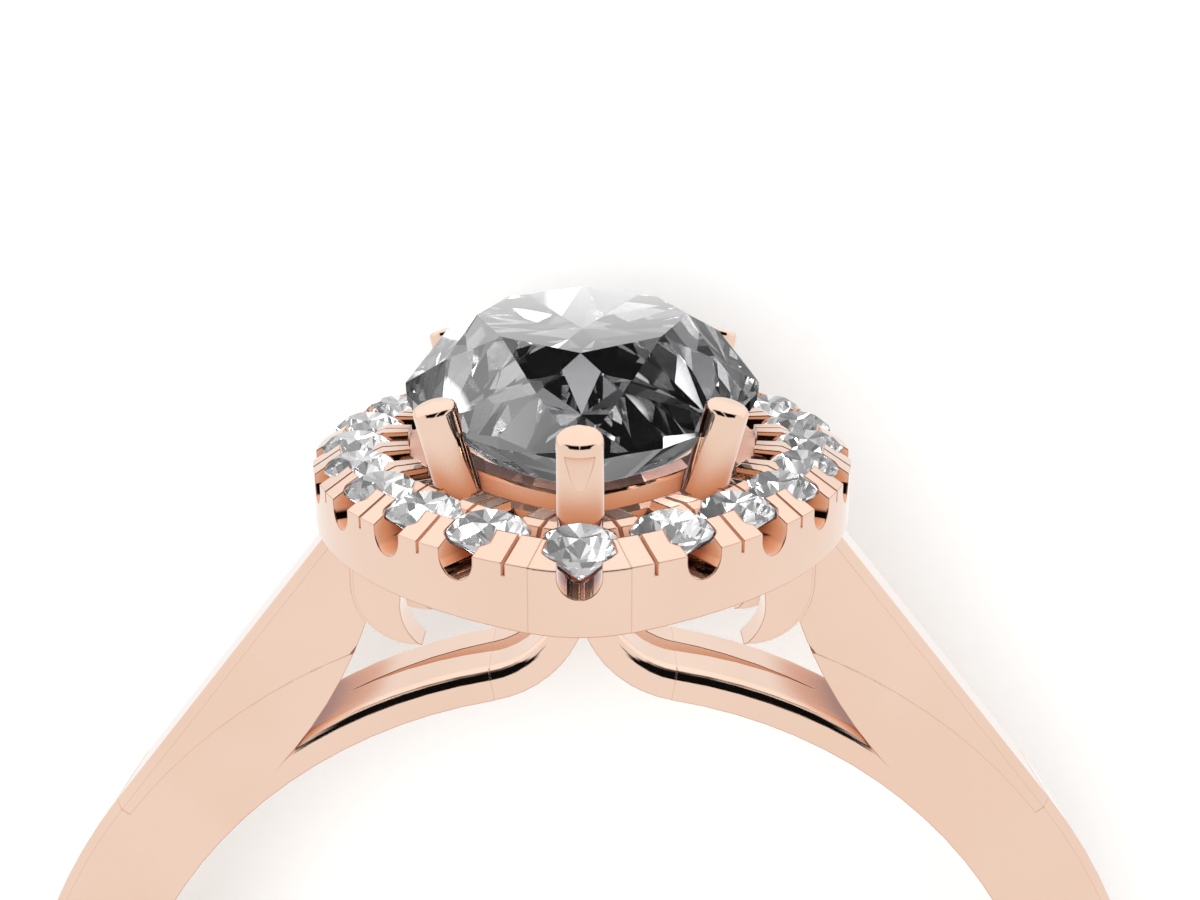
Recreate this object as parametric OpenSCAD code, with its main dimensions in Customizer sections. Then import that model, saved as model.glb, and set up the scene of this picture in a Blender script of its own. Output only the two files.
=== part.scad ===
// Halo ring: a pear cut stone in five prongs, a row of small round stones round it in a
// scalloped halo, and a cathedral shank with a split gallery under the head.
// Sizes are in millimetres. The ring is worked out upright, with the finger hole along Y,
// the head up and the pear's tip towards -Y. It is then laid down as it rests on a table,
// tip side up, on the round end of its halo and the bottom of its shank.

/* [Finger hole and shank] */
// Radius of the hole for the finger
finger_r = 8.82; // [7:0.02:11]
// Width of the shank along the finger
shank_w = 2.2; // [1.6:0.05:4]
// Thickness of the shank outwards from the finger
shank_t = 1.9; // [1.2:0.05:3]
// Bevel along the outer edges of the shank and shoulders
edge_bevel = 0.17; // [0.05:0.01:0.4]

/* [Shoulders and gallery arms] */
// How far inside the halo's wall the outer faces of the shoulders arrive
shoulder_inset = 0.52; // [0.1:0.02:1.2]
// Radius of the curved inner face of each shoulder
shoulder_inner_r = 8.5; // [6:0.1:14]
// Where that face starts to leave the shoulder's outer face, along the shoulder
shoulder_taper_start = 2.95; // [1:0.05:5]
// Thickness of the gallery arms outwards from the finger
arm_t = 0.56; // [0.35:0.01:1]
// Radius of the upward curl where the two arms meet
arm_curl_r = 2.0; // [1.2:0.05:3]
// How far the two arms run into each other in the middle
arm_join = 0.1; // [0.05:0.01:0.3]
// Rounding along the upper edges of the arms
arm_round = 0.24; // [0.05:0.01:0.3]
// Width of the slot that splits the arms, measured in the middle of the ring
split_w = 0.7; // [0.3:0.05:1.2]
// Distance from the middle of the ring to the points where the slot closes
split_reach = 4.3; // [2.5:0.1:5]

/* [Petals] */
// Width of a petal at the halo
petal_w = 0.83; // [0.5:0.01:1.2]
// Distance of a petal's outer side beyond the pear stone's side
petal_out = 0.96; // [0.7:0.01:1.3]
// Height of the straight part of a petal below the halo
petal_drop = 1.27; // [0.8:0.01:1.8]
// Radius of a petal's outer curve
petal_outer_r = 1.11; // [0.9:0.01:1.4]
// Radius of a petal's inner curve
petal_inner_r = 0.89; // [0.7:0.01:1.1]
// How much lower the inner curve starts than the outer one
petal_step = 0.4; // [0.2:0.01:0.6]
// Thickness of a petal along the finger
petal_t = 0.7; // [0.4:0.01:1]
// How far the petals stand proud of the shoulders' faces
petal_proud = 0.06; // [0.02:0.01:0.2]
// Bevel along a petal's outer curve
petal_bevel = 0.05; // [0.02:0.01:0.1]

/* [Centre stone] */
// Half of the width of the pear stone
stone_half_w = 3.0; // [2.4:0.01:3.4]
// Length from the widest line to the tip
stone_tip = 4.82; // [4:0.01:6]
// Length from the widest line to the round end
stone_round = 3.53; // [3:0.01:4.2]
// Radius of the arc round the pear's round end, as a share of the half width
round_end_share = 0.9; // [0.7:0.01:0.97]
// Height of the crown
stone_crown = 1.14; // [0.8:0.01:1.5]
// Thickness of the girdle
stone_girdle = 0.18; // [0.05:0.01:0.3]
// Depth of the pavilion
stone_pavilion = 2.4; // [1.8:0.01:3]
// Distance from the girdle in to the table's edge
table_inset = 1.24; // [0.9:0.01:1.6]
// Height of the table above the finger hole
table_lift = 6.57; // [6:0.01:8]

/* [Halo] */
// Diameter of the small round stones
halo_stone_d = 1.18; // [0.9:0.01:1.5]
// Smallest gap between two small stones
halo_stone_gap = 0.11; // [0.08:0.01:0.3]
// Extra space on both sides of the stone at the tip
tip_extra = 0.15; // [0:0.01:0.4]
// Space between the pear stone's outline and the small stones
halo_space = 0.26; // [0.15:0.01:0.5]
// Metal outside the small stones
halo_edge = 0.13; // [0.08:0.01:0.3]
// Depth from the table down to the halo's crest
halo_drop = 2.06; // [1.7:0.01:2.4]
// Height of the halo from its lower rim to its crest
halo_h = 1.21; // [1:0.01:1.6]
// Width of the slope on the outer crest
slope_w = 0.45; // [0.2:0.01:0.55]
// Height of the slope on the outer crest
slope_h = 0.28; // [0.15:0.01:0.4]
// Height of the small stones' tables over the crest
halo_table_over = 0.05; // [0:0.01:0.1]
// Crown height of a small stone
halo_crown = 0.2; // [0.15:0.01:0.3]
// Girdle thickness of a small stone
halo_girdle = 0.04; // [0.02:0.01:0.08]
// Pavilion depth of a small stone
halo_pavilion = 0.48; // [0.35:0.01:0.6]
// Radius of the round bottom of the notches in the halo
notch_r = 0.3; // [0.2:0.01:0.4]
// Depth of the outer notches below the crest
notch_depth = 0.67; // [0.45:0.01:0.9]
// Depth of the inner notches below the crest
inner_notch_depth = 0.3; // [0.15:0.01:0.45]
// Width of the saw cut that splits each block into two beads
cut_w = 0.05; // [0.03:0.01:0.15]
// Depth of the saw cuts below the crest
cut_depth = 0.45; // [0.25:0.01:0.7]

/* [Gallery rail] */
// Space between the pear stone's outline and the rail inside it
rail_space = 0.3; // [0.15:0.01:0.5]
// Width of the rail
rail_w = 0.42; // [0.3:0.01:0.7]
// Height of the rail over the halo's crest
rail_over = 0.16; // [0:0.01:0.3]
// Height of the rail
rail_h = 0.6; // [0.4:0.01:0.9]

/* [Prongs] */
// Radius of a prong
prong_r = 0.335; // [0.25:0.005:0.45]
// Depth from the table down to the prongs' tops
prong_drop = 0.8; // [0.4:0.01:1]
// How far a prong leans out over its height above the halo
prong_lean = 0.42; // [0.2:0.01:0.6]
// How far a prong's foot stands in from the pear's outline
prong_in = 0.06; // [0:0.01:0.2]
// Rounding of a prong's top
prong_round = 0.09; // [0.05:0.01:0.25]
// Radius of the legs that run down from the prongs
leg_r = 0.28; // [0.2:0.01:0.4]
// Gap between each stone and its metal
stone_clearance = 0.03; // [0.02:0.01:0.08]

/* [Hidden] */
$fn = 96;

// The pear's outline is made of arcs: two flanks that meet at the tip, two sides, one cap.
round_end_r = round_end_share * stone_half_w;
flank_r = (pow(stone_half_w, 2) + pow(stone_tip, 2)) / (2 * stone_half_w);
flank_x = flank_r - stone_half_w;
tip_angle = acos(flank_x / flank_r);
cap_y = stone_round - round_end_r;
side_r = (pow(stone_half_w, 2) + pow(cap_y, 2) - pow(round_end_r, 2))
         / (2 * (stone_half_w - round_end_r));
side_x = side_r - stone_half_w;
side_angle = atan2(cap_y, side_x);

// Heights above the centre of the finger hole
outer_r = finger_r + shank_t;
table_z = finger_r + table_lift;
girdle_top_z = table_z - stone_crown;
girdle_low_z = girdle_top_z - stone_girdle;
culet_z = girdle_low_z - stone_pavilion;
crest_z = table_z - halo_drop;
rim_z = crest_z - halo_h;
halo_table_z = crest_z + halo_table_over;
halo_girdle_z = halo_table_z - halo_crown - halo_girdle;
seat_z = halo_girdle_z - stone_clearance;
rail_top_z = crest_z + rail_over;
rail_low_z = rail_top_z - rail_h;
prong_top_z = table_z - prong_drop;

// Offsets of the halo from the pear's outline
halo_mid = halo_space + halo_stone_d / 2;
halo_out = halo_space + halo_stone_d + halo_edge;
crest_out = halo_out - slope_w;
crest_in = 2 * halo_mid - crest_out;

// Row of small stones: one at the tip and as many on each side as fit
tip_len = rad(90 - tip_angle) * halo_mid;
flank_len = rad(tip_angle) * (flank_r + halo_mid);
side_len = rad(side_angle) * (side_r + halo_mid);
cap_len = rad(90 - side_angle) * (round_end_r + halo_mid);
half_len = tip_len + flank_len + side_len + cap_len;
per_side = floor((half_len - tip_extra) / (halo_stone_d + halo_stone_gap));
pitch = (half_len - tip_extra) / (per_side + 0.5);
stone_count = 2 * per_side + 1;

// The straight shoulder runs from the shank's round, tangent to it, to the halo's rim
shoulder_x = stone_half_w + halo_out - shoulder_inset;
shoulder_reach = norm([shoulder_x, rim_z]);
shoulder_turn = atan2(shoulder_x, rim_z) + acos(outer_r / shoulder_reach);
shoulder_len = sqrt(pow(shoulder_reach, 2) - pow(outer_r, 2));

// The arms' curls touch the finger hole's circle at this angle from the top
curl_x = arm_curl_r - arm_join;
curl_turn = asin(curl_x / (finger_r + arm_curl_r));
curl_z = (finger_r + arm_curl_r) * cos(curl_turn);
arm_top_r = finger_r + arm_t;
stem_x = curl_x - arm_curl_r + arm_t;
stem_top_z = max(curl_z, culet_z - 1.0) + 0.25;
rail_arm_w = (shank_w - split_w) / 2;

// Facets of the pear stone: the direction of each main facet and its share of the table inset
facet_direction = 0;
facet_inset = 1;
pear_facets = [
    [-tip_angle, 1.01],
    [-33, 0.87],
    [-5.5, 0.98],
    [31, 1.03],
    [90, 0.78]
];
star_share = 0.58;
lower_share = 0.76;
halo_table_share = 0.56;

// Laid down, the ring rests on the halo's lower rim at the round end and on the shank
rest_halo_y = stone_round + halo_out;
rest_shank_z = outer_r - edge_bevel;
rest_tilt = atan2(rest_halo_y - shank_w / 2, rim_z + rest_shank_z);
rest_lift = shank_w / 2 * cos(rest_tilt) + rest_shank_z * sin(rest_tilt);
far_top = table_z * cos(rest_tilt) + (stone_round - table_inset * pear_facets[4][facet_inset]) * sin(rest_tilt);
far_low = outer_r * cos(rest_tilt) + (shank_w / 2 - edge_bevel) * sin(rest_tilt);
rest_shift = (far_low - far_top) / 2;

laid() mounting();
laid() centre_stone();
for (i = [0 : stone_count - 1])
    laid() halo_stone(i);

function rad(degrees) = degrees * PI / 180;
function deg(radians) = radians * 180 / PI;
function stone_name(i) = str("halo_stone_", i < 9 ? "0" : "", i + 1);
function lerp(a, b, share) = a + (b - a) * share;

// A point at an offset from the pear's outline, on its right half, by its outward direction
function pear_point(direction, offset) =
    direction < -tip_angle ? [offset * cos(direction), offset * sin(direction) - stone_tip]
    : direction < 0 ? [(flank_r + offset) * cos(direction) - flank_x, (flank_r + offset) * sin(direction)]
    : direction < side_angle ? [(side_r + offset) * cos(direction) - side_x, (side_r + offset) * sin(direction)]
    : [(round_end_r + offset) * cos(direction), (round_end_r + offset) * sin(direction) + cap_y];

// The outward direction at a distance along the middle of the row of small stones
function row_direction(along) =
    along < tip_len ? -90 + deg(along / halo_mid)
    : along < tip_len + flank_len ? -tip_angle + deg((along - tip_len) / (flank_r + halo_mid))
    : along < tip_len + flank_len + side_len ? deg((along - tip_len - flank_len) / (side_r + halo_mid))
    : side_angle + deg((along - tip_len - flank_len - side_len) / (round_end_r + halo_mid));

// Stone 0 is at the tip, then the right side from the tip to the round end, then the left
function stone_step(i) = i <= per_side ? i : i - per_side;
function stone_side(i) = i <= per_side ? 1 : -1;
function stone_along(step) = step == 0 ? 0 : tip_extra + step * pitch;
function cut_along(step) = (stone_along(step) + stone_along(step + 1)) / 2;

// Stands its children at a place in the row, with X pointing outwards from the halo
module in_row(along, side) {
    direction = row_direction(along);
    place = pear_point(direction, halo_mid);
    mirror([side < 0 ? 1 : 0, 0, 0])
        translate([place[0], place[1], 0])
            rotate([0, 0, direction])
                children();
}

module both_sides() {
    children();
    mirror([1, 0, 0]) children();
}

// Turns an upright solid whose axis is Z so that its axis lies along the finger
module along_finger() {
    rotate([90, 0, 0]) children();
}

module laid() {
    translate([0, rest_shift, rest_lift]) rotate([rest_tilt - 90, 0, 0]) children();
}

// Cut stones

function cross_point(p, u, q, v) =
    let (k = ((q[0] - p[0]) * v[1] - (q[1] - p[1]) * v[0]) / (u[0] * v[1] - u[1] * v[0]))
    [p[0] + k * u[0], p[1] + k * u[1]];

function plane_height(a, b, c, p) =
    let (n = cross(b - a, c - a))
    a[2] - (n[0] * (p[0] - a[0]) + n[1] * (p[1] - a[1])) / n[2];

// A brilliant cut from its outline, given as eight main points, their tangents, the points
// between them and the table's corners. It has 8 mains, 8 stars and 16 halves on the crown,
// and 8 mains and 16 halves on the pavilion.
module brilliant(outline, tangents, table, crown_h, girdle_h, pavilion_h) {
    q = len(outline) / 8;
    h = q / 2;
    n = len(outline);
    star_z = -crown_h * (1 - star_share);
    upper_z = -crown_h;
    lower_z = -crown_h - girdle_h;
    lower_mid_z = lower_z - pavilion_h * lower_share;
    culet = [0, 0, lower_z - pavilion_h];
    stars = [for (k = [0 : 7])
        let (m = (k + 1) % 8,
             p = lerp(outline[k * q], table[k], star_share),
             r = lerp(outline[m * q], table[m], star_share),
             s = cross_point(p, tangents[k], r, tangents[m]))
        [s[0], s[1], star_z]];
    lowers = [for (k = [0 : 7])
        let (m = (k + 1) % 8,
             p = outline[k * q] * (1 - lower_share),
             r = outline[m * q] * (1 - lower_share),
             s = cross_point(p, tangents[k], r, tangents[m]))
        [s[0], s[1], lower_mid_z]];
    uppers = [for (j = [0 : n - 1])
        let (k = floor(j / q), a = floor(j / h) * h, b = (a + h) % n, p = outline[j])
        j % h == 0 ? [p[0], p[1], upper_z]
        : [p[0], p[1], plane_height(stars[k], [outline[a][0], outline[a][1], upper_z],
                                    [outline[b][0], outline[b][1], upper_z], p)]];
    unders = [for (j = [0 : n - 1])
        let (k = floor(j / q), a = floor(j / h) * h, b = (a + h) % n, p = outline[j])
        j % h == 0 ? [p[0], p[1], lower_z]
        : [p[0], p[1], plane_height(lowers[k], [outline[a][0], outline[a][1], lower_z],
                                    [outline[b][0], outline[b][1], lower_z], p)]];
    corners = concat([for (t = table) [t[0], t[1], 0]], stars, uppers, unders, lowers, [culet]);
    u = 16;
    w = u + n;
    l = w + n;
    c = l + 8;
    faces = concat(
        [[for (k = [0 : 7]) k]],
        [for (k = [0 : 7]) [k, 8 + k, (k + 1) % 8]],
        [for (k = [0 : 7]) [k, 8 + (k + 7) % 8, u + k * q, 8 + k]],
        [for (k = [0 : 7], e = [0, 1])
            concat([8 + k], [for (j = [0 : h]) u + (k * q + e * h + j) % n])],
        [for (j = [0 : n - 1]) [u + j, w + j, w + (j + 1) % n, u + (j + 1) % n]],
        [for (k = [0 : 7], e = [0, 1])
            concat([l + k], [for (j = [h : -1 : 0]) w + (k * q + e * h + j) % n])],
        [for (k = [0 : 7]) [c, l + k, w + k * q, l + (k + 7) % 8]]
    );
    polyhedron(points = corners, faces = [for (f = faces) [for (i = [len(f) - 1 : -1 : 0]) f[i]]]);
}

function flipped(p) = [-p[0], p[1]];

// Outward direction at a quarter step round the pear's right half, from the tip to the end
function quarter_direction(j) =
    let (k = min(floor(j / 4), 3))
    lerp(pear_facets[k][facet_direction], pear_facets[k + 1][facet_direction], (j - 4 * k) / 4);

function pear_corner(k) =
    k == 0 ? [0, table_inset * pear_facets[0][facet_inset] - stone_tip]
    : k == 4 ? [0, stone_round - table_inset * pear_facets[4][facet_inset]]
    : pear_point(pear_facets[k][facet_direction], -table_inset * pear_facets[k][facet_inset]);

function pear_tangent(k) =
    k == 0 ? [1, 0] : k == 4 ? [-1, 0]
    : [-sin(pear_facets[k][facet_direction]), cos(pear_facets[k][facet_direction])];

module centre_stone() {
    half = [for (j = [0 : 16]) j == 0 ? [0, -stone_tip] : pear_point(quarter_direction(j), 0)];
    outline = concat(half, [for (j = [15 : -1 : 1]) flipped(half[j])]);
    right = [for (k = [0 : 4]) pear_tangent(k)];
    tangents = concat(right, [for (k = [3 : -1 : 1]) [right[k][0], -right[k][1]]]);
    corners = [for (k = [0 : 4]) pear_corner(k)];
    table = concat(corners, [for (k = [3 : -1 : 1]) flipped(corners[k])]);
    color("lightgray") translate([0, 0, table_z])
        brilliant(outline, tangents, table, stone_crown, stone_girdle, stone_pavilion);
}

module round_stone() {
    r = halo_stone_d / 2;
    outline = [for (j = [0 : 15]) r * [cos(j * 22.5), sin(j * 22.5)]];
    tangents = [for (k = [0 : 7]) [-sin(k * 45), cos(k * 45)]];
    table = [for (k = [0 : 7]) r * halo_table_share * [cos(k * 45), sin(k * 45)]];
    brilliant(outline, tangents, table, halo_crown, halo_girdle, halo_pavilion);
}

module halo_stone(i) {
    color("white") in_row(stone_along(stone_step(i)), stone_side(i))
        translate([0, 0, halo_table_z]) round_stone();
}

// Metal

// Section of the halo and the rail inside it, by offset from the pear's outline and height
groove_slope = 0.1;
groove_z = seat_z - 0.02;
web_z = crest_z - 0.12;
// Arcs that run into each other lap by this angle, the inner one thinner by this much
lap_turn = 1;
lap = 0.004;

function band_section(e, inside) = [
    [inside, rim_z + e],
    [halo_out - e, rim_z + e],
    [halo_out - e, crest_z - slope_h - e],
    [crest_out, crest_z - 2 * e],
    [crest_out - groove_slope + e, groove_z - e],
    [crest_in + groove_slope - e, groove_z - e],
    [crest_in - e, crest_z - 0.06 - e],
    [crest_in - 0.15 - e, crest_z - e],
    [inside, crest_z - e]
];
function rail_section(e) = [
    [e, web_z - e],
    [-rail_space - e, web_z - e],
    [-rail_space - e, rail_top_z - 0.05 - e],
    [-rail_space - 0.05 - e, rail_top_z - e],
    [-rail_space - rail_w + e, rail_top_z - e],
    [-rail_space - rail_w + e, rail_low_z + e],
    [e, rail_low_z + e]
];

module arc(radius, from, to, section) {
    rotate([0, 0, from]) rotate_extrude(angle = to - from)
        polygon([for (p = section) [p[0] + radius, p[1]]]);
}

module halo_band() {
    whole = concat(band_section(0, 0), rail_section(0));
    thinner = concat(band_section(lap, lap), rail_section(lap));
    translate([0, cap_y, 0]) arc(round_end_r, side_angle, 180 - side_angle, whole);
    both_sides() {
        difference() {
            translate([-flank_x, 0, 0]) arc(flank_r, -tip_angle, 0, whole);
            translate([-4, -2 * stone_tip, 0]) cube([4, 2 * stone_tip, 2 * table_z]);
        }
        translate([-side_x, 0, 0]) arc(side_r, -lap_turn, side_angle + lap_turn, thinner);
    }
    // Round the tip, with a post that the tip's prong stands on, its end just below the rim
    translate([0, -stone_tip, 0]) {
        arc(0, tip_angle - 180 - lap_turn, lap_turn - tip_angle, band_section(lap, prong_r / 4));
        translate([0, 0, rim_z - 0.02]) cylinder(r = prong_r - 0.05, h = halo_h - 0.06);
    }
}

// A notch with a round bottom, open upwards, along X between two places
module notch(from, to, depth) {
    translate([from, 0, crest_z - depth + notch_r]) {
        rotate([90, 0, 90]) rotate([0, 0, 180]) rotate_extrude(angle = 180) square([notch_r, to - from]);
        translate([0, -notch_r, 0]) cube([to - from, 2 * notch_r, depth]);
    }
}

module saw_cut(from, to) {
    translate([from, -cut_w / 2, crest_z - cut_depth]) cube([to - from, cut_w, cut_depth + 1]);
}

module halo_cuts() {
    for (i = [0 : stone_count - 1])
        in_row(stone_along(stone_step(i)), stone_side(i)) {
            notch(0, halo_out - halo_mid + 0.3, notch_depth);
            notch(-halo_mid - 0.04, 0, inner_notch_depth);
        }
    for (k = [0 : per_side], side = [1, -1])
        if (k < per_side || side == 1)
            in_row(k < per_side ? cut_along(k) : half_len, side) {
                saw_cut(0.1, halo_out - halo_mid + 0.3);
                saw_cut(-halo_mid - 0.04, -0.1);
            }
}

// The seats follow the small stones all round, so the metal grips them over their girdles
module halo_seats() {
    c = stone_clearance;
    r = halo_stone_d / 2;
    table_r = r * halo_table_share;
    for (i = [0 : stone_count - 1])
        in_row(stone_along(stone_step(i)), stone_side(i)) rotate_extrude() polygon([
            [0, seat_z - halo_pavilion],
            [2 * c, seat_z - halo_pavilion],
            [r + c, seat_z],
            [r + c, halo_table_z - halo_crown + c / 2],
            [table_r + c, halo_table_z + c / 2],
            [table_r + c, crest_z + 1],
            [0, crest_z + 1]
        ]);
}

// A prong stands on the arc with this centre and radius, in the given direction
prong_foot_z = crest_z - 0.2;
prong_tilt = atan2(prong_lean, prong_top_z - prong_foot_z);

module prong_body() {
    rod = (prong_top_z - prong_foot_z) / cos(prong_tilt);
    translate([-prong_in, 0, prong_foot_z]) rotate([0, prong_tilt, 0]) rotate_extrude()
        polygon(concat(
            [[0, -0.2], [prong_r, -0.2]],
            [for (a = [0 : 15 : 75]) [prong_r + prong_round * (cos(a) - 1), rod + prong_round * (sin(a) - 1)]],
            [[prong_r - prong_round, rod], [0, rod + 0.03]]
        ));
}

// Room for the pear stone behind a prong: its girdle and crown, and its pavilion below
module stone_room(radius) {
    low = girdle_low_z - stone_clearance;
    deep = 0.5;
    translate([0, 0, low]) cylinder(r = radius + stone_clearance, h = table_z - low);
    translate([0, 0, low - deep])
        cylinder(r1 = radius + stone_clearance - deep * stone_half_w / stone_pavilion,
                 r2 = radius + stone_clearance, h = deep);
}

module tip_prong() {
    difference() {
        translate([0, -stone_tip, 0]) rotate([0, 0, -90]) prong_body();
        intersection() {
            translate([flank_x, 0, 0]) stone_room(flank_r);
            translate([-flank_x, 0, 0]) stone_room(flank_r);
        }
    }
}

flank_prong_direction = -37.5;
round_prong_direction = 34.7;

module flank_prong() {
    foot = pear_point(flank_prong_direction, 0);
    difference() {
        translate([foot[0], foot[1], 0]) rotate([0, 0, flank_prong_direction]) prong_body();
        translate([-flank_x, 0, 0]) stone_room(flank_r);
    }
}

module round_prong() {
    foot = pear_point(round_prong_direction, 0);
    difference() {
        translate([foot[0], foot[1], 0]) rotate([0, 0, round_prong_direction]) prong_body();
        translate([-side_x, 0, 0]) stone_room(side_r);
    }
}

// A straight round leg between two points
module leg(from, to, r) {
    v = to - from;
    translate(from) rotate([0, acos(v[2] / norm(v)), atan2(v[1], v[0])])
        cylinder(r = r, h = norm(v));
}

module legs() {
    foot_y = (split_w + rail_arm_w) / 2;
    low = stem_top_z - leg_r;
    apart = arm_t / 2;
    flank = pear_point(flank_prong_direction, -prong_in);
    round_end = pear_point(round_prong_direction, -prong_in);
    leg([0, prong_in - stone_tip, prong_foot_z], [0, -foot_y, low], leg_r);
    both_sides() {
        leg([flank[0], flank[1], prong_foot_z], [apart, -foot_y, low - 0.1], leg_r - 0.02);
        leg([round_end[0], round_end[1], prong_foot_z], [apart, foot_y, low], leg_r);
    }
}

// Section of the shank and the shoulders, by distance from the finger hole's axis and width
function bevelled(inner, outer, e) = [
    [inner, e - shank_w / 2],
    [outer - edge_bevel, e - shank_w / 2],
    [outer - e, edge_bevel - shank_w / 2],
    [outer - e, shank_w / 2 - edge_bevel],
    [outer - edge_bevel, shank_w / 2 - e],
    [inner, shank_w / 2 - e]
];

// Half of an arm's section beside its upper edge: the rounding, from the side face inwards
function rounded(x, y, from) =
    [for (a = [from : 15 : from + 90]) [x + arm_round * cos(a), y + arm_round * sin(a)]];

module shank() {
    along_finger() arc(0, 90 + shoulder_turn, 450 - shoulder_turn, bevelled(finger_r - 0.5, outer_r, 0));
}

// The shoulder is a straight bar of the shank's section, its inner face cut round by the window
module shoulder() {
    rotate([0, -shoulder_turn, 0]) translate([-0.05, 0, 0]) rotate([0, 90, 0])
        linear_extrude(shoulder_len + 2)
            polygon([for (p = bevelled(finger_r + 0.3, outer_r, lap)) [-p[0], p[1]]]);
}

// What the arms are cut from, between the shoulders' starts and the curls
module arm_blank() {
    y = shank_w / 2;
    top = outer_r - 2 * edge_bevel;
    low = finger_r - 0.5;
    along_finger() arc(0, 90 + curl_turn, 90 + shoulder_turn + lap_turn,
                       [[low, -y], [top, -y], [top, y], [low, y]]);
}

// All that lies between the arms' upper faces and the shoulders' inner faces
module window() {
    half_w = shank_w / 2;
    wide = shank_w + 2;
    low_r = arm_top_r - arm_round;
    low_side = rounded(low_r, arm_round - half_w, -90);
    high_side = rounded(low_r, half_w - arm_round, 0);
    last = len(high_side) - 1;
    past_low = low_side[0] * 2 - low_side[1];
    past_high = high_side[last] * 2 - high_side[last - 1];
    reach = arm_top_r * sin(shoulder_turn) - shoulder_taper_start / 2 * cos(shoulder_turn);
    difference() {
        translate([-reach, -wide / 2, 0]) cube([2 * reach, wide, table_z]);
        along_finger() rotate_extrude() polygon(concat(
            [[0, -wide], [past_low[0], -wide], past_low],
            [for (i = [1 : last]) low_side[i]],
            [for (i = [0 : last - 1]) high_side[i]],
            [past_high, [past_high[0], wide], [0, wide]]
        ));
        both_sides() rotate([0, -shoulder_turn, 0])
            translate([shoulder_taper_start, 0, finger_r + shoulder_inner_r]) along_finger()
                cylinder(r = shoulder_inner_r, h = 2 * wide, center = true);
    }
}

// Section of an arm's curl or stem, by distance from the curl's centre and width
function curl_section(e) =
    let (half_w = shank_w / 2 - e, outer = arm_curl_r - e, inner = arm_curl_r - arm_t + e)
    concat(
        [[outer, -half_w], [outer, half_w]],
        rounded(inner + arm_round, half_w - arm_round, 90),
        rounded(inner + arm_round, arm_round - half_w, 180)
    );

// The part of an arm that curls up beside the middle, and the stem that it becomes
module arm_curl() {
    translate([-curl_x, 0, curl_z]) {
        along_finger() arc(0, curl_turn - 90 - lap_turn, 0, curl_section(lap));
        translate([0, 0, -0.05])
            linear_extrude(stem_top_z - curl_z + 0.05) polygon(curl_section(2 * lap));
    }
}

// The slot splits both arms into a front and a back rail, widest in the middle
module arm_slot() {
    translate([0, 0, finger_r - 3]) linear_extrude(table_z)
        polygon([[-split_reach, 0], [0, -split_w / 2], [split_reach, 0], [0, split_w / 2]]);
}

module arms_and_shank() {
    difference() {
        union() {
            shank();
            both_sides() shoulder();
            difference() {
                both_sides() arm_blank();
                arm_slot();
            }
        }
        window();
        along_finger() cylinder(r = finger_r, h = 4 * shank_w, center = true);
        translate([-2 * shoulder_x, -shank_w, rim_z + 0.3])
            cube([4 * shoulder_x, 2 * shank_w, table_z]);
    }
    difference() {
        both_sides() arm_curl();
        arm_slot();
    }
}

// A petal hangs from the halo's underside, front or back, and curls in to a sharp tip
module petal() {
    outer_x = -stone_half_w - petal_out;
    inner_x = outer_x + petal_w;
    bend_z = rim_z - petal_drop;
    turn = 170;
    hollow_x = inner_x + petal_inner_r;
    hollow_z = bend_z - petal_step;
    top = rim_z + 0.25 - bend_z;
    section = [
        [0, -petal_t / 2],
        [petal_outer_r - petal_bevel, -petal_t / 2],
        [petal_outer_r, petal_bevel - petal_t / 2],
        [petal_outer_r, petal_t / 2 - petal_bevel],
        [petal_outer_r - petal_bevel, petal_t / 2],
        [0, petal_t / 2]
    ];
    difference() {
        translate([outer_x + petal_outer_r, 0, bend_z]) {
            linear_extrude(top) polygon([for (p = section) [-p[0], p[1]]]);
            along_finger() arc(0, 180, 300, section);
        }
        translate([hollow_x, 0, hollow_z]) along_finger()
            cylinder(r = petal_inner_r, h = 2 * petal_t, center = true);
        translate([hollow_x + petal_inner_r * cos(turn), -petal_t, hollow_z + petal_inner_r * sin(turn)])
            cube([2 * petal_w, 2 * petal_t, petal_drop + petal_step + 1]);
    }
}

module petals() {
    y = shank_w / 2 + petal_proud - petal_t / 2;
    both_sides() for (side = [-1, 1]) translate([0, side * y, 0]) petal();
}

module head() {
    difference() {
        union() {
            difference() {
                halo_band();
                halo_cuts();
            }
            tip_prong();
            both_sides() {
                flank_prong();
                round_prong();
            }
        }
        halo_seats();
    }
}

module mounting() {
    color("#d8a48a") {
        head();
        union() {
            arms_and_shank();
            petals();
        }
        legs();
    }
}
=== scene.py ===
"""Halo ring in rose gold with a pear cut diamond and a halo of brilliants, lying on a pale table."""

import bpy
import numpy as np
from bpy.props import FloatProperty, FloatVectorProperty, PointerProperty
from bpy.types import Operator, Panel, PropertyGroup
from mathutils import Matrix, Vector

bl_info = {
    "name": "Halo ring",
    "version": (1, 0, 0),
    "blender": (4, 5, 0),
    "location": "3D View > Sidebar > Halo ring",
    "description": "Finishes a rose gold halo ring and its stones, and sets them on a lit table",
    "category": "Object",
}

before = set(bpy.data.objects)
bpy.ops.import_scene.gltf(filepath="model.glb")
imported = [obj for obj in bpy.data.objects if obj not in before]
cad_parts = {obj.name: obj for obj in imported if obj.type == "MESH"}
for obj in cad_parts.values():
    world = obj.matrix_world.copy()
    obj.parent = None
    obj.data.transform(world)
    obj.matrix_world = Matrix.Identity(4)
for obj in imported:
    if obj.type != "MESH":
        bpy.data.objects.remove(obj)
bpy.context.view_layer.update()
MM = 0.001


def linear(colour_hex):
    """The linear RGB values of an sRGB colour written as six hex digits."""
    srgb = np.array([int(colour_hex[i : i + 2], 16) for i in (0, 2, 4)]) / 255
    return tuple(np.where(srgb <= 0.04045, srgb / 12.92, ((srgb + 0.055) / 1.055) ** 2.4))


# Sizes and colours

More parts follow.
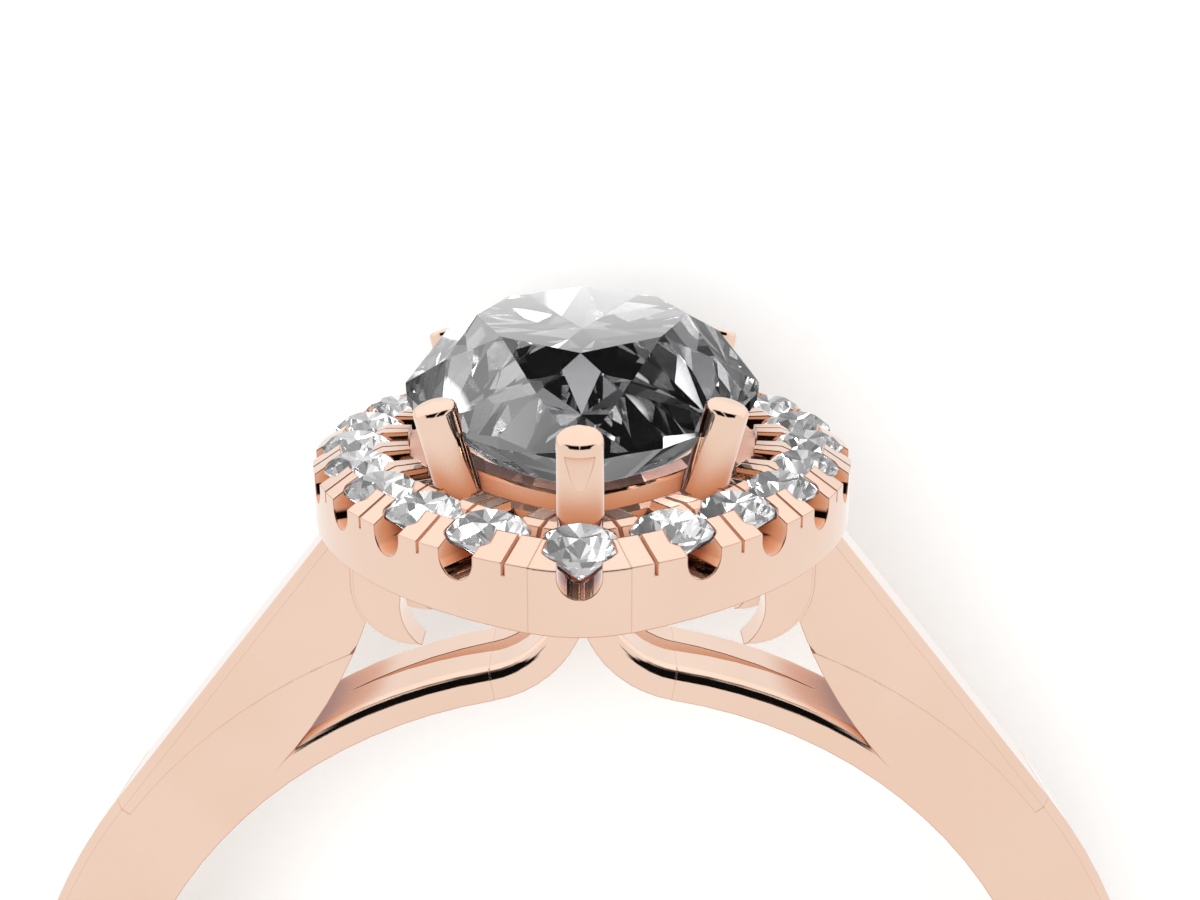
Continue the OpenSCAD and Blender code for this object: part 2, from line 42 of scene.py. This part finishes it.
class MetalSettings(PropertyGroup):
    colour: FloatVectorProperty(
        name="Rose gold", description="Colour of polished 18 carat rose gold",
        subtype="COLOR", size=3, min=0, max=1, default=linear("F0D3C0"))
    deep_colour: FloatVectorProperty(
        name="Deeper rose gold", description="Colour where the alloy looks a little more copper",
        subtype="COLOR", size=3, min=0, max=1, default=linear("EDCDB8"))
    patch: FloatProperty(
        name="Patches", description="Size of the places where the alloy looks more copper",
        subtype="DISTANCE", unit="LENGTH", min=0.0001, max=0.1, default=3 * MM)
    polish: FloatProperty(
        name="Roughness", description="Roughness of the mirror polish",
        subtype="FACTOR", min=0, max=1, default=0.045)
    haze: FloatProperty(
        name="Haze", description="Size of the places where the polish is a little duller",
        subtype="DISTANCE", unit="LENGTH", min=0.0001, max=0.1, default=0.8 * MM)
    wheel_mark: FloatProperty(
        name="Wheel mark spacing", description="Distance between the marks of the polishing wheel",
        subtype="DISTANCE", unit="LENGTH", min=0.00001, max=0.01, default=0.22 * MM)
    edge_radius: FloatProperty(
        name="Edge rounding", description="Radius that polishing leaves on the edges",
        subtype="DISTANCE", unit="LENGTH", min=0, max=0.001, default=0.038 * MM)
    # Painted reflection: dark lines are painted along the rounded edges, where the rounding would
    # mirror the dark studio
    painted_edge_reflection_colour: FloatVectorProperty(
        name="Edge colour", description="Colour of the thin lines along the rounded edges",
        subtype="COLOR", size=3, min=0, max=1, default=linear("B9623A"))
    painted_edge_reflection_depth: FloatProperty(
        name="Edge depth", description="How much of the edge colour shows in those lines",
        subtype="FACTOR", min=0, max=1, default=0.75)
    # Painted shade: the metal's colour is darkened and reddened between close walls and in narrow gaps
    painted_shade_reach: FloatProperty(
        name="Recess", description="Distance between walls under which their colour deepens",
        subtype="DISTANCE", unit="LENGTH", min=0, max=0.01, default=1.0 * MM)
    painted_recess_shade: FloatVectorProperty(
        name="Recess colour", description="Colour of the metal between walls",
        subtype="COLOR", size=3, min=0, max=1, default=linear("CE8660"))
    painted_gap_shade: FloatVectorProperty(
        name="Gap colour", description="Colour of the metal deep in a narrow gap",
        subtype="COLOR", size=3, min=0, max=1, default=linear("6E240F"))


class StoneSettings(PropertyGroup):
    # Painted shade: the centre stone's body is a mid grey so that it looks darker than the small
    # stones; real diamond is near colourless
    painted_shade_centre_colour: FloatVectorProperty(
        name="Centre diamond", description="Body colour of the pear cut stone",
        subtype="COLOR", size=3, min=0, max=1, default=linear("A2A2A4"))
    halo_colour: FloatVectorProperty(
        name="Halo diamonds", description="Body colour of the small stones",
        subtype="COLOR", size=3, min=0, max=1, default=linear("FDFDFE"))
    ior: FloatProperty(
        name="Refractive index", description="Refractive index of diamond",
        min=1, max=3, default=2.417)
    centre_clarity: FloatProperty(
        name="Centre clarity", description="Share of the light that the centre stone lets through",
        subtype="FACTOR", min=0.5, max=1, default=0.98)
    halo_clarity: FloatProperty(
        name="Halo clarity", description="Share of the light that the small stones let through",
        subtype="FACTOR", min=0.5, max=1, default=0.84)
    centre_zone: FloatProperty(
        name="Centre growth zones", description="Size of the growth zones in the centre stone",
        subtype="DISTANCE", unit="LENGTH", min=0.0001, max=0.01, default=1.2 * MM)
    halo_zone: FloatProperty(
        name="Halo growth zones", description="Size of the growth zones in the small stones",
        subtype="DISTANCE", unit="LENGTH", min=0.0001, max=0.01, default=0.4 * MM)


class StageSettings(PropertyGroup):
    floor_radius: FloatProperty(
        name="Table radius", description="Radius of the table top",
        subtype="DISTANCE", unit="LENGTH", min=0.05, max=5, default=0.6)
    floor_colour: FloatVectorProperty(
        name="Table", description="Colour of the table top",
        subtype="COLOR", size=3, min=0, max=1, default=linear("FAFAF9"))
    fibre: FloatProperty(
        name="Fibre", description="Size of the fibre grain of the card on the table",
        subtype="DISTANCE", unit="LENGTH", min=0.0001, max=0.01, default=0.4 * MM)
    sky: FloatProperty(
        name="Surrounding light", description="Strength of the soft light from all round",
        min=0, max=5, default=1.1)
    key: FloatProperty(
        name="Key light", description="Power of the soft box over the ring",
        subtype="POWER", unit="POWER", min=0, max=10, default=0.1)
    lens: FloatProperty(
        name="Lens", description="Focal length of the camera on a 36 mm wide sensor",
        subtype="DISTANCE_CAMERA", min=10, max=200, default=42.45)


# Shared tools

# A Mix node has an output for a number, one for a vector and then the one for a colour
MIX_COLOUR = 2


def add_node(tree, kind, settings=None, *ordered, **named):
    """A new node of a kind in a tree. Its own settings are given as a dictionary. Each input is given
    by its place or by its name with underscores for spaces, as a value or as the output of another
    node to link from."""
    node = tree.nodes.new(kind)
    for name, value in (settings or {}).items():
        setattr(node, name, value)
    inputs = list(zip(node.inputs, ordered))
    for name, value in named.items():
        found = [s for s in node.inputs if s.name.replace(" ", "_") == name and s.enabled]
        if not found:
            raise RuntimeError(f"{kind} has no input named {name}")
        inputs.append((found[0], value))
    for socket, value in inputs:
        if isinstance(value, bpy.types.NodeSocket):
            tree.links.new(value, socket)
        else:
            socket.default_value = value
    return node


def new_material(name):
    """A material with an empty node tree, and that tree."""
    material = bpy.data.materials.new(name)
    material.use_nodes = True
    material.node_tree.nodes.clear()
    return material, material.node_tree


def finish_surface(tree, **inputs):
    """Ends a material's tree with a Principled shader, whose inputs are given by name."""
    shader = add_node(tree, "ShaderNodeBsdfPrincipled", **inputs)
    add_node(tree, "ShaderNodeOutputMaterial", Surface=shader.outputs["BSDF"])


def per_metre(size):
    """The scale that gives a Noise texture on Object coordinates features of a size in metres."""
    return 1 / size


def mottled(tree, size, detail, limits, first, second):
    """A colour that turns from a first to a second in patches of a size, as their noise rises from
    one limit to another. Gives the noise's value and the colour."""
    place = add_node(tree, "ShaderNodeTexCoord").outputs["Object"]
    noise = add_node(tree, "ShaderNodeTexNoise", Vector=place, Scale=per_metre(size), Detail=detail)
    share = add_node(
        tree, "ShaderNodeMapRange", Value=noise.outputs["Fac"],
        From_Min=limits[0], From_Max=limits[1])
    colour = add_node(
        tree, "ShaderNodeMix", {"data_type": "RGBA"}, Factor=share.outputs["Result"],
        A=(*first, 1), B=(*second, 1))
    return noise.outputs["Fac"], colour.outputs[MIX_COLOUR]


def darker(colour, share):
    """A share of a linear colour's brightness."""
    return tuple(share * c for c in colour)


def dress(names, material):
    """Gives CAD nodes a material in place of their own."""
    for name in names:
        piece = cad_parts[name]
        piece.data.materials.clear()
        piece.data.materials.append(material)


def halo_stones():
    """The names of the halo's small stones, in order."""
    names = sorted(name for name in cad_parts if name.startswith("halo_stone_"))
    if not names:
        raise RuntimeError("the model has no halo stones")
    return names


# Rose gold

# Rays that a shading point sends out to find an edge or the walls round it
FEELERS = 8
# The painted dark edge reflection starts and is full where the rounding turns the surface by these
# cosines
EDGE_START, EDGE_FULL = 0.98, 0.85
# Open sky over a point, as a share, where the painted shade of hollows and of deep gaps starts and is
# full
RECESS_SHADE_OPEN, RECESS_SHADE_FULL = 0.88, 0.38
GAP_SHADE_OPEN, GAP_SHADE_FULL = 0.32, 0.06
# The polish's roughness, as shares of its usual value, where it is best and where it is dullest
BEST_POLISH, DULL_POLISH = 0.6, 1.5
# Wheel marks are drawn out along Z, since the wheel's strokes run that way
STROKE_SQUEEZE = 0.08
STROKE_DEPTH = 0.002 * MM


def rose_gold(metal):
    """18 carat rose gold, an alloy of gold and copper, cast and then polished on a wheel to a mirror.
    The eye sees a pale peach reflection of the studio, faint marks that follow the wheel's strokes and
    a colour that turns more copper in places. Thin dark copper lines along the edges that the wheel
    has rounded are a painted reflection, and the darker, redder colour between close walls is painted
    shade."""
    material, tree = new_material("rose_gold_polished")
    _, alloy = mottled(
        tree, metal.patch, detail=3, limits=(0.35, 0.7), first=metal.deep_colour, second=metal.colour)

    # The edges are found where the rounded surface turns away from the flat one, and a dark line is
    # painted there as a painted reflection of the dark studio in the rounding
    soft_edges = add_node(
        tree, "ShaderNodeBevel", {"samples": FEELERS}, Radius=metal.edge_radius).outputs["Normal"]
    flat = add_node(tree, "ShaderNodeNewGeometry").outputs["Normal"]
    turned = add_node(
        tree, "ShaderNodeVectorMath", {"operation": "DOT_PRODUCT"}, soft_edges, flat)
    edge = add_node(
        tree, "ShaderNodeMapRange", Value=turned.outputs["Value"],
        From_Min=EDGE_START, From_Max=EDGE_FULL, To_Max=metal.painted_edge_reflection_depth)
    colour = add_node(
        tree, "ShaderNodeMix", {"data_type": "RGBA"}, Factor=edge.outputs["Result"],
        A=alloy, B=(*metal.painted_edge_reflection_colour, 1))

    # Painted shade: between close walls the colour is painted darker and redder, in place of the light
    # that is thrown from metal to metal and takes its colour each time
    enclosed = add_node(
        tree, "ShaderNodeAmbientOcclusion", {"samples": FEELERS}, Distance=metal.painted_shade_reach)
    for start, full, painted_shade_tint in (
            (RECESS_SHADE_OPEN, RECESS_SHADE_FULL, metal.painted_recess_shade), (GAP_SHADE_OPEN, GAP_SHADE_FULL, metal.painted_gap_shade)):
        depth = add_node(
            tree, "ShaderNodeMapRange", {"interpolation_type": "SMOOTHSTEP"},
            Value=enclosed.outputs["AO"], From_Min=start, From_Max=full)
        colour = add_node(
            tree, "ShaderNodeMix", {"data_type": "RGBA"}, Factor=depth.outputs["Result"],
            A=colour.outputs[MIX_COLOUR], B=(*painted_shade_tint, 1))

    # The haze of the polish is a little stronger in patches under a millimetre across
    place = add_node(tree, "ShaderNodeTexCoord").outputs["Object"]
    haze = add_node(
        tree, "ShaderNodeTexNoise", Vector=place, Scale=per_metre(metal.haze), Detail=4)
    dull = add_node(
        tree, "ShaderNodeMapRange", Value=haze.outputs["Fac"], From_Min=0.3, From_Max=0.75,
        To_Min=metal.polish * BEST_POLISH, To_Max=metal.polish * DULL_POLISH)

    # Wheel marks are under 0.01 mm apart in the real metal; these are as coarse as they need to show
    strokes = add_node(tree, "ShaderNodeMapping", Vector=place, Scale=(1, 1, STROKE_SQUEEZE))
    marks = add_node(
        tree, "ShaderNodeTexNoise", Vector=strokes.outputs["Vector"],
        Scale=per_metre(metal.wheel_mark), Detail=2)
    relief = add_node(
        tree, "ShaderNodeBump", Height=marks.outputs["Fac"], Strength=0.05, Distance=STROKE_DEPTH,
        Normal=soft_edges)

    finish_surface(
        tree, Base_Color=colour.outputs[MIX_COLOUR], Metallic=1, Roughness=dull.outputs["Result"],
        Normal=relief.outputs["Normal"])
    return material


# Diamond

# A growth zone's brightness, as a share of the clearer stone beside it
ZONE_SHADE = 0.9


def diamond(name, colour, ior, clarity, zone):
    """Diamond, cut to flat facets and polished on a diamond dusted wheel. The eye sees bright and
    black facets side by side, because light that enters the top is thrown back by the pavilion, and
    a body colour that is a shade greyer in growth zones."""
    material, tree = new_material(name)
    _, body = mottled(
        tree, zone, detail=2, limits=(0.35, 0.65), first=darker(colour, ZONE_SHADE), second=colour)
    finish_surface(tree, Base_Color=body, Roughness=0, IOR=ior, Transmission_Weight=clarity)
    return material


# Table top

# The brightness of the fibres' low places, and how far they stand proud
FIBRE_SHADE = 0.985
FIBRE_DEPTH = 0.01 * MM


def table_top(stage):
    """A sheet of matt white card, pressed smooth, with a faint fibre grain under half a millimetre."""
    material, tree = new_material("white_card")
    fibres, card = mottled(
        tree, stage.fibre, detail=4, limits=(0.3, 0.7),
        first=darker(stage.floor_colour, FIBRE_SHADE), second=stage.floor_colour)
    relief = add_node(tree, "ShaderNodeBump", Height=fibres, Strength=0.1, Distance=FIBRE_DEPTH)
    finish_surface(tree, Base_Color=card, Roughness=0.85, Normal=relief.outputs["Normal"])
    return material


def disc(name, radius, rings, sides):
    """A flat round sheet at height 0: ring i has radius R (i / rings) squared and each side an equal
    turn, x = r cos t and y = r sin t, with one point in the middle that closes it."""
    reach = radius * (np.arange(1, rings + 1) / rings) ** 2
    turn = np.linspace(0, 2 * np.pi, sides, endpoint=False)
    r, t = np.meshgrid(reach, turn, indexing="ij")
    points = np.stack([r * np.cos(t), r * np.sin(t), 0 * r], axis=-1).reshape(-1, 3)
    points = np.concatenate([[[0, 0, 0]], points])
    side = np.arange(sides)
    after = (side + 1) % sides
    middle = np.stack([0 * side, side + 1, after + 1], axis=1)
    start = 1 + sides * np.arange(rings - 1)[:, None]
    quads = np.stack(
        [start + side, start + sides + side, start + sides + after, start + after], axis=-1)
    mesh = bpy.data.meshes.new(name)
    mesh.from_pydata(points.tolist(), [], middle.tolist() + quads.reshape(-1, 4).tolist())
    mesh.validate()
    made = bpy.data.objects.new(name, mesh)
    bpy.context.scene.collection.objects.link(made)
    return made


# Light

# The ring's own directions as it lies: up through the head, to the front along the finger, and right
LYING_TILT = np.radians(10.0066)
RING_UP = Vector((0, np.cos(LYING_TILT), np.sin(LYING_TILT)))
RING_FRONT = Vector((0, -np.sin(LYING_TILT), np.cos(LYING_TILT)))
RING_RIGHT = Vector((1, 0, 0))

# The tent round the metal. A height is a turn in radians from the front up over the head, and a side
# runs from 0 in the middle to 1 straight right. Each band has a softness at its limits
STRIP_HEIGHT, STRIP_SIDE, STRIP_SOFT = (0.14, 1.45), (-0.72, 0.72), 0.04
GAP_SIDE, GAP_SOFT = (-0.05, 0.05), 0.01
GLOW_HEIGHT, GLOW_SOFT = (1.6, 2.7), 0.2
CLOTH_LIGHT, GLOW_LIGHT, STRIP_LIGHT = 1.0, 0.2, 0.005

# The room round the stones: the scale of its walls' noise, and the light at each value of that noise
WALLS_SCALE = 2.3
WALLS_LIGHT = ((0.42, 0.002), (0.45, 0.05), (0.49, 0.25), (0.54, 0.5), (0.6, 0.85), (0.66, 1.4))
# Noise repeats nothing, so a shift only chooses which walls of the room are light
WALLS_SHIFT = Vector((5.5, 6.1, 9.7))
# How much darker the room gets towards the right
WALLS_SLOPE = -0.12
# Its small lamps, which are the peaks of a finer noise
LAMPS_SCALE, LAMPS_LIMITS, LAMPS_LIGHT = 9.0, (0.7, 0.74), 6.0
# A light wall behind the head, which the table of the centre stone mirrors
BACK_LIMITS, BACK_LIGHT = (0.85, 0.98), 0.35


def band(tree, value, limits, soft):
    """1 where a value lies between two limits and 0 outside, with soft edges."""
    low, high = limits
    rise = add_node(
        tree, "ShaderNodeMapRange", {"interpolation_type": "SMOOTHSTEP"},
        Value=value, From_Min=low - soft, From_Max=low + soft)
    fall = add_node(
        tree, "ShaderNodeMapRange", {"interpolation_type": "SMOOTHSTEP"},
        Value=value, From_Min=high + soft, From_Max=high - soft)
    both = add_node(
        tree, "ShaderNodeMath", {"operation": "MULTIPLY"},
        rise.outputs["Result"], fall.outputs["Result"])
    return both.outputs["Value"]


def tent_round_the_metal(tree, direction):
    """White cloth all round, with a dark strip over the head as between two soft boxes and a light
    gap in the middle of it. It draws the black lines along the arms and under the prongs' tops."""
    up, front, side = (
        add_node(tree, "ShaderNodeVectorMath", {"operation": "DOT_PRODUCT"}, direction, axis)
        .outputs["Value"] for axis in (RING_UP, RING_FRONT, RING_RIGHT))
    height = add_node(tree, "ShaderNodeMath", {"operation": "ARCTAN2"}, up, front).outputs["Value"]
    strip = add_node(
        tree, "ShaderNodeMath", {"operation": "MULTIPLY"},
        band(tree, height, STRIP_HEIGHT, STRIP_SOFT), band(tree, side, STRIP_SIDE, STRIP_SOFT))
    beside_gap = add_node(
        tree, "ShaderNodeMath", {"operation": "SUBTRACT"}, 1, band(tree, side, GAP_SIDE, GAP_SOFT))
    dark = add_node(
        tree, "ShaderNodeMath", {"operation": "MULTIPLY"},
        strip.outputs["Value"], beside_gap.outputs["Value"])
    cloth = add_node(
        tree, "ShaderNodeMath", {"operation": "MULTIPLY_ADD"},
        band(tree, height, GLOW_HEIGHT, GLOW_SOFT), GLOW_LIGHT, CLOTH_LIGHT)
    light = add_node(
        tree, "ShaderNodeMapRange", Value=dark.outputs["Value"],
        To_Min=cloth.outputs["Value"], To_Max=STRIP_LIGHT)
    return light.outputs["Result"]


def room_round_the_stones(tree, direction):
    """Grey surroundings with black and white places, which the pavilions throw back as facets. They
    are darker on the right of the ring and lighter on the left."""
    shifted = add_node(
        tree, "ShaderNodeVectorMath", {"operation": "ADD"}, direction, WALLS_SHIFT)
    walls = add_node(
        tree, "ShaderNodeTexNoise", Vector=shifted.outputs["Vector"],
        Scale=WALLS_SCALE, Detail=1, Roughness=0.4)
    side = add_node(
        tree, "ShaderNodeVectorMath", {"operation": "DOT_PRODUCT"}, direction, RING_RIGHT)
    sloped = add_node(
        tree, "ShaderNodeMath", {"operation": "MULTIPLY_ADD"},
        side.outputs["Value"], WALLS_SLOPE, walls.outputs["Fac"])
    shade = add_node(tree, "ShaderNodeValToRGB", Fac=sloped.outputs["Value"])
    stops = shade.color_ramp.elements
    for place, _ in WALLS_LIGHT[1:-1]:
        stops.new(place)
    for stop, (place, light) in zip(stops, WALLS_LIGHT):
        stop.position = place
        stop.color = (light, light, light, 1)
    grey = add_node(tree, "ShaderNodeRGBToBW", Color=shade.outputs["Color"])

    sparks = add_node(
        tree, "ShaderNodeTexNoise", Vector=shifted.outputs["Vector"], Scale=LAMPS_SCALE, Detail=0)
    lamps = add_node(
        tree, "ShaderNodeMapRange", Value=sparks.outputs["Fac"],
        From_Min=LAMPS_LIMITS[0], From_Max=LAMPS_LIMITS[1], To_Max=LAMPS_LIGHT)
    back = add_node(
        tree, "ShaderNodeVectorMath", {"operation": "DOT_PRODUCT"}, direction, -RING_FRONT)
    back_wall = add_node(
        tree, "ShaderNodeMapRange", Value=back.outputs["Value"],
        From_Min=BACK_LIMITS[0], From_Max=BACK_LIMITS[1], To_Max=BACK_LIGHT)
    light = grey.outputs["Val"]
    for more in (lamps, back_wall):
        light = add_node(
            tree, "ShaderNodeMath", {"operation": "ADD"}, light, more.outputs["Result"]
        ).outputs["Value"]
    return light


def surrounding_light(strength):
    """A soft white surround. Polished metal and stones each get the studio that they reflect: rays
    from the stones' facets are perfectly sharp, and those from the metal are a little spread."""
    world = bpy.data.worlds.new("light_tent")
    world.use_nodes = True
    tree = world.node_tree
    tree.nodes.clear()
    direction = add_node(tree, "ShaderNodeTexCoord").outputs["Generated"]
    rays = add_node(tree, "ShaderNodeLightPath").outputs
    shown = add_node(
        tree, "ShaderNodeMix", {"data_type": "FLOAT"}, Factor=rays["Is Glossy Ray"],
        A=strength, B=tent_round_the_metal(tree, direction))
    shown = add_node(
        tree, "ShaderNodeMix", {"data_type": "FLOAT"}, Factor=rays["Is Singular Ray"],
        A=shown.outputs["Result"], B=room_round_the_stones(tree, direction))
    sky = add_node(
        tree, "ShaderNodeBackground", Color=(1, 1, 1, 1), Strength=shown.outputs["Result"])
    add_node(tree, "ShaderNodeOutputWorld", Surface=sky.outputs["Background"])
    bpy.context.scene.world = world


def soft_box(name, place, target, size, power):
    """A square light at a place with its face turned to a target, both in millimetres as its size
    is, and with its power in watts. The camera and the polished metal don't see it."""
    place, target = Vector(place) * MM, Vector(target) * MM
    data = bpy.data.lights.new(name, "AREA")
    data.shape = "SQUARE"
    data.size = size * MM
    data.energy = power
    light = bpy.data.objects.new(name, data)
    light.location = place
    light.rotation_euler = (target - place).to_track_quat("-Z", "Y").to_euler()
    light.visible_camera = False
    light.visible_glossy = False
    bpy.context.scene.collection.objects.link(light)


def hide_from_stones(floor):
    """Hides the table and the mounting from reflected and refracted rays, so that the stones mirror
    their own room alone, and the small stones from reflected rays, so that the prongs stay clean."""
    for piece in (floor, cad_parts["mounting"]):
        piece.visible_glossy = False
        piece.visible_transmission = False
    for name in halo_stones():
        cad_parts[name].visible_glossy = False


# Camera

# Where the camera stands over the ring, in millimetres, where it looks and which way is its right
EYE = Vector((0.185, 12.704, 29.730))
FORWARD = Vector((0.004673, -0.09786, -0.99519))
RIGHT = Vector((0.999988, -0.000843, 0.004778))
SENSOR_WIDTH = 36
# The nearest and the farthest that it sees, in metres
NEAREST, FARTHEST = 1 * MM, 20


def camera(lens):
    """The camera looks almost straight down on the lying ring, so that the head is at the top."""
    data = bpy.data.cameras.new("camera")
    data.lens = lens
    data.sensor_width = SENSOR_WIDTH
    data.clip_start, data.clip_end = NEAREST, FARTHEST
    made = bpy.data.objects.new("camera", data)
    bpy.context.scene.collection.objects.link(made)
    up = RIGHT.cross(FORWARD).normalized()
    turned = Matrix((RIGHT.normalized(), up, -FORWARD.normalized())).transposed()
    made.matrix_world = Matrix.Translation(EYE * MM) @ turned.to_4x4()
    bpy.context.scene.camera = made


# Operators

class HALORING_OT_mounting(Operator):
    """Finish the mounting in polished rose gold"""

    bl_idname = "haloring.mounting"
    bl_label = "Rose gold mounting"

    def execute(self, context):
        dress(["mounting"], rose_gold(context.scene.haloring_metal))
        return {"FINISHED"}


class HALORING_OT_stones(Operator):
    """Finish the centre stone and the halo's stones as polished diamonds"""

    bl_idname = "haloring.stones"
    bl_label = "Diamonds"

    def execute(self, context):
        stones = context.scene.haloring_stones
        # The pear's grey body colour is painted shade, which darkens it against the small stones
        pear = diamond(
            "diamond_pear_cut", stones.painted_shade_centre_colour, stones.ior, stones.centre_clarity,
            stones.centre_zone)
        brilliant = diamond(
            "diamond_round_brilliant", stones.halo_colour, stones.ior, stones.halo_clarity,
            stones.halo_zone)
        dress(["centre_stone"], pear)
        dress(halo_stones(), brilliant)
        return {"FINISHED"}


class HALORING_OT_stage(Operator):
    """Set the ring on a white table under soft light, with the camera over it"""

    bl_idname = "haloring.stage"
    bl_label = "Table, light and camera"

    def execute(self, context):
        stage = context.scene.haloring_stage
        floor = disc("table", stage.floor_radius, rings=24, sides=96)
        floor.data.materials.append(table_top(stage))
        surrounding_light(stage.sky)
        soft_box("overhead_box", place=(-60, 10, 160), target=(0, 8, 5), size=120, power=stage.key)
        hide_from_stones(floor)
        camera(stage.lens)
        context.scene.view_settings.view_transform = "Standard"
        return {"FINISHED"}


class HALORING_PT_panel(Panel):
    bl_idname = "HALORING_PT_panel"
    bl_label = "Halo ring"
    bl_space_type = "VIEW_3D"
    bl_region_type = "UI"
    bl_category = "Halo ring"

    def draw(self, context):
        for settings, operator in (
            ("haloring_metal", "haloring.mounting"),
            ("haloring_stones", "haloring.stones"),
            ("haloring_stage", "haloring.stage"),
        ):
            group = getattr(context.scene, settings)
            box = self.layout.box()
            for name in group.__annotations__:
                box.prop(group, name)
            box.operator(operator)


SETTINGS = {
    "haloring_metal": MetalSettings,
    "haloring_stones": StoneSettings,
    "haloring_stage": StageSettings,
}
CLASSES = (
    *SETTINGS.values(), HALORING_OT_mounting, HALORING_OT_stones, HALORING_OT_stage, HALORING_PT_panel,
)


def register():
    for one in CLASSES:
        bpy.utils.register_class(one)
    for name, group in SETTINGS.items():
        setattr(bpy.types.Scene, name, PointerProperty(type=group))


def unregister():
    for name in SETTINGS:
        delattr(bpy.types.Scene, name)
    for one in reversed(CLASSES):
        bpy.utils.unregister_class(one)


def main():
    register()
    bpy.ops.haloring.mounting()
    bpy.ops.haloring.stones()
    bpy.ops.haloring.stage()
    bpy.context.view_layer.update()


if __name__ == "__main__":
    main()
